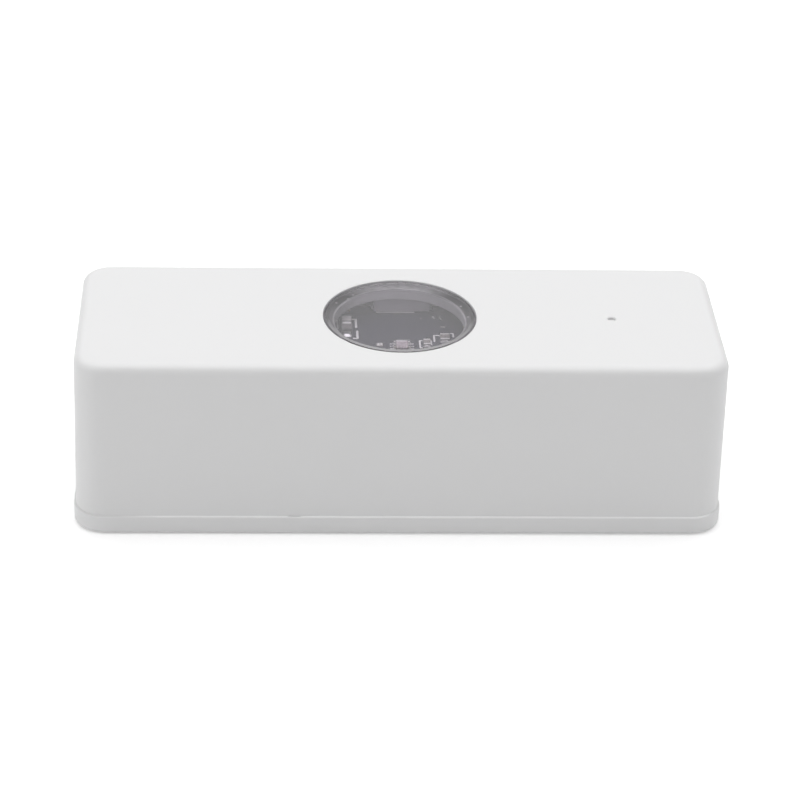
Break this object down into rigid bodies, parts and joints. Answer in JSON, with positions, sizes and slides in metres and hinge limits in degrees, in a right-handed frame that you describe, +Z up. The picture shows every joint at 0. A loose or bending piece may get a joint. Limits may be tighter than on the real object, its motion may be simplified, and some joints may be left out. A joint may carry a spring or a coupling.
{
  "type": "light sensor",
  "caption": "White stick-on wireless light sensor with a round smoked window, a pinhole key, and coin cells inside.",
  "frame": {"origin": "middle of the face that the sensor rests or sticks on, the underside of its mounting tape", "axes": "+X along the case towards the pinhole end, +Y from the pictured front to the back, +Z up through the window"},
  "size_m": [0.0812, 0.0286, 0.0235],
  "materials": {
    "case_white": "white moulded plastic, satin",
    "foam_tape": "black closed-cell foam tape",
    "smoked_window": "smoked clear plastic, polished",
    "black_adhesive": "thin black adhesive",
    "circuit_board": "black solder mask",
    "screw_steel": "nickel-plated steel",
    "holder_nylon": "black moulded nylon",
    "contact_steel": "nickel-plated spring steel",
    "sensor_clear": "clear moulded epoxy",
    "sensor_die": "silicon die, pinkish sheen",
    "gold_leads": "gold plate",
    "tantalum_body": "dark moulded epoxy",
    "tinned_metal": "bright tin plate",
    "capacitor_ceramic": "tan ceramic",
    "resistor_ceramic": "black glass film",
    "status_light": "milky clear resin",
    "connector_white": "off-white nylon",
    "radio_board": "green solder mask",
    "shield_steel": "tin-plated sheet steel",
    "antenna_wire": "phosphor bronze spring wire",
    "chip_black": "black moulded epoxy",
    "crystal_metal": "nickel lid",
    "capacitor_can": "bare aluminium can",
    "switch_black": "black nylon",
    "key_white": "white nylon",
    "cell_steel": "nickel-plated steel",
    "cell_gasket": "clear polypropylene seal",
    "cell_core": "pressed dark powder and lithium foil"
  },
  "bodies": {
    "base": {"bottom_cover": "case_white", "snap_hooks": "case_white", "mounting_tape": "foam_tape"},
    "housing": {"top_housing": "case_white", "window_lens": "smoked_window", "lens_adhesive_ring": "black_adhesive", "circuit_board": "circuit_board", "board_screws": "screw_steel", "battery_holder": "holder_nylon", "negative_contacts": "contact_steel", "positive_contacts": "contact_steel", "light_sensor_package": "sensor_clear", "light_sensor_die": "sensor_die", "light_sensor_leads": "gold_leads", "tantalum_capacitor_body": "tantalum_body", "tantalum_capacitor_tabs": "tinned_metal", "chip_capacitors": "capacitor_ceramic", "chip_resistors": "resistor_ceramic", "chip_terminals": "tinned_metal", "status_light": "status_light", "plug_connector": "connector_white", "plug_connector_pins": "gold_leads", "radio_module_board": "radio_board", "radio_module_shield": "shield_steel", "antenna_coil": "antenna_wire", "microcontroller": "chip_black", "microcontroller_leads": "tinned_metal", "crystal": "crystal_metal", "bulk_capacitor_base": "chip_black", "bulk_capacitor_can": "capacitor_can", "switch_body": "switch_black", "switch_dome": "contact_steel", "switch_cover": "contact_steel", "switch_terminals": "tinned_metal"},
    "function_key": {"function_key": "key_white"},
    "left_cell": {"left_cell_can": "cell_steel", "left_cell_gasket": "cell_gasket", "left_cell_cap": "cell_steel", "left_cell_core": "cell_core"},
    "right_cell": {"right_cell_can": "cell_steel", "right_cell_gasket": "cell_gasket", "right_cell_cap": "cell_steel", "right_cell_core": "cell_core"}
  },
  "joints": [
    {"name": "housing_lift", "type": "slide", "parent": "base", "child": "housing", "axis": [0, 0, 1], "range_m": [0, 0.03], "deforming": ["snap_hooks"]},
    {"name": "key_press", "type": "slide", "parent": "housing", "child": "function_key", "axis": [0, 0, -1], "range_m": [0, 0.00025], "stiffness_N_per_m": 1200, "deforming": ["switch_dome"]},
    {"name": "left_cell_out", "type": "slide", "parent": "housing", "child": "left_cell", "axis": [0, 0, -1], "range_m": [0, 0.0053]},
    {"name": "right_cell_out", "type": "slide", "parent": "housing", "child": "right_cell", "axis": [0, 0, -1], "range_m": [0, 0.0053]}
  ]
}
